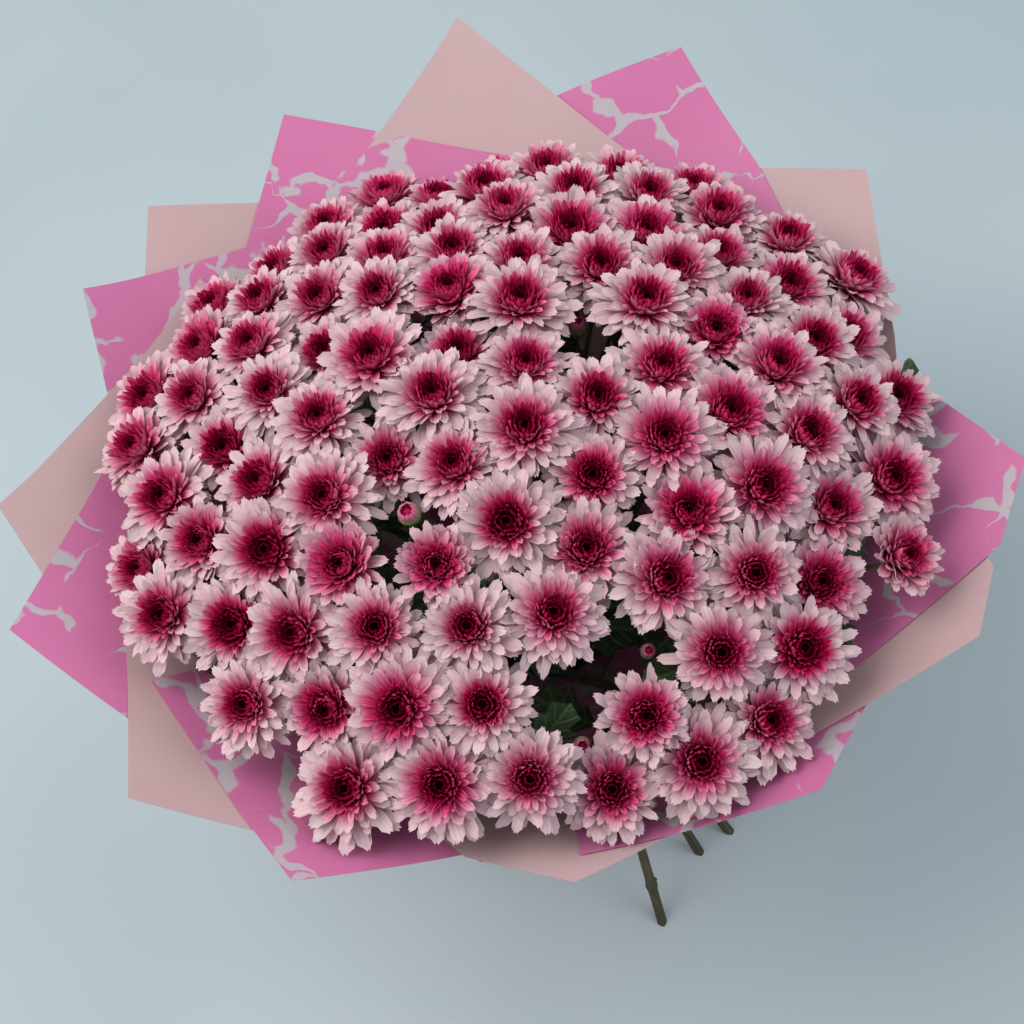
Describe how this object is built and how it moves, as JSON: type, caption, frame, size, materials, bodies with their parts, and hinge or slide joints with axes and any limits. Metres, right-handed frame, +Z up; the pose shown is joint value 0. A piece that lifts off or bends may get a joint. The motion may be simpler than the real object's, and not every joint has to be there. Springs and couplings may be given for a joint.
{
  "type": "wrapped chrysanthemum bouquet",
  "caption": "Large hand-tied bouquet of spray chrysanthemums in two-tone paper, a dome of pink and white blooms on splayed cut stems that stand unheld.",
  "frame": {"origin": "bottom centre of the bouquet's box, on the surface that the cut stem ends stand on", "axes": "+Z up along the bunch, from the cut stem ends to the dome of blooms; -Y towards the viewer, where the paper is lowest"},
  "size_m": [0.584, 0.614, 0.4589],
  "materials": {
    "petals": "matte",
    "stems_and_leaves": "matte",
    "paper_pink": "satin",
    "paper_pale": "matte",
    "binding_tape": "satin",
    "ribbon": "satin"
  },
  "bodies": {
    "root": {"spray_01_blooms": "petals", "spray_01_stem": "stems_and_leaves", "spray_02_blooms": "petals", "spray_02_stem": "stems_and_leaves", "spray_03_blooms": "petals", "spray_03_stem": "stems_and_leaves", "spray_04_blooms": "petals", "spray_04_stem": "stems_and_leaves", "spray_05_blooms": "petals", "spray_05_stem": "stems_and_leaves", "spray_06_blooms": "petals", "spray_06_stem": "stems_and_leaves", "spray_07_blooms": "petals", "spray_07_stem": "stems_and_leaves", "spray_08_blooms": "petals", "spray_08_stem": "stems_and_leaves", "spray_09_blooms": "petals", "spray_09_stem": "stems_and_leaves", "spray_10_blooms": "petals", "spray_10_stem": "stems_and_leaves", "spray_11_blooms": "petals", "spray_11_stem": "stems_and_leaves", "spray_12_blooms": "petals", "spray_12_stem": "stems_and_leaves", "spray_13_blooms": "petals", "spray_13_stem": "stems_and_leaves", "spray_14_blooms": "petals", "spray_14_stem": "stems_and_leaves", "spray_15_blooms": "petals", "spray_15_stem": "stems_and_leaves", "spray_16_blooms": "petals", "spray_16_stem": "stems_and_leaves", "spray_17_blooms": "petals", "spray_17_stem": "stems_and_leaves", "spray_18_blooms": "petals", "spray_18_stem": "stems_and_leaves", "spray_19_blooms": "petals", "spray_19_stem": "stems_and_leaves", "spray_20_blooms": "petals", "spray_20_stem": "stems_and_leaves", "spray_21_blooms": "petals", "spray_21_stem": "stems_and_leaves", "paper_01_pink": "paper_pink", "paper_02_pale": "paper_pale", "paper_03_pink": "paper_pink", "paper_04_pale": "paper_pale", "paper_05_pink": "paper_pink", "paper_06_pale": "paper_pale", "paper_07_pink": "paper_pink", "paper_08_pale": "paper_pale", "paper_09_pink": "paper_pink", "paper_10_pale": "paper_pale", "paper_11_pink": "paper_pink", "paper_12_pale": "paper_pale", "paper_13_pink": "paper_pink", "paper_14_pale": "paper_pale", "stem_tie": "binding_tape", "ribbon": "ribbon"}
  },
  "joints": []
}
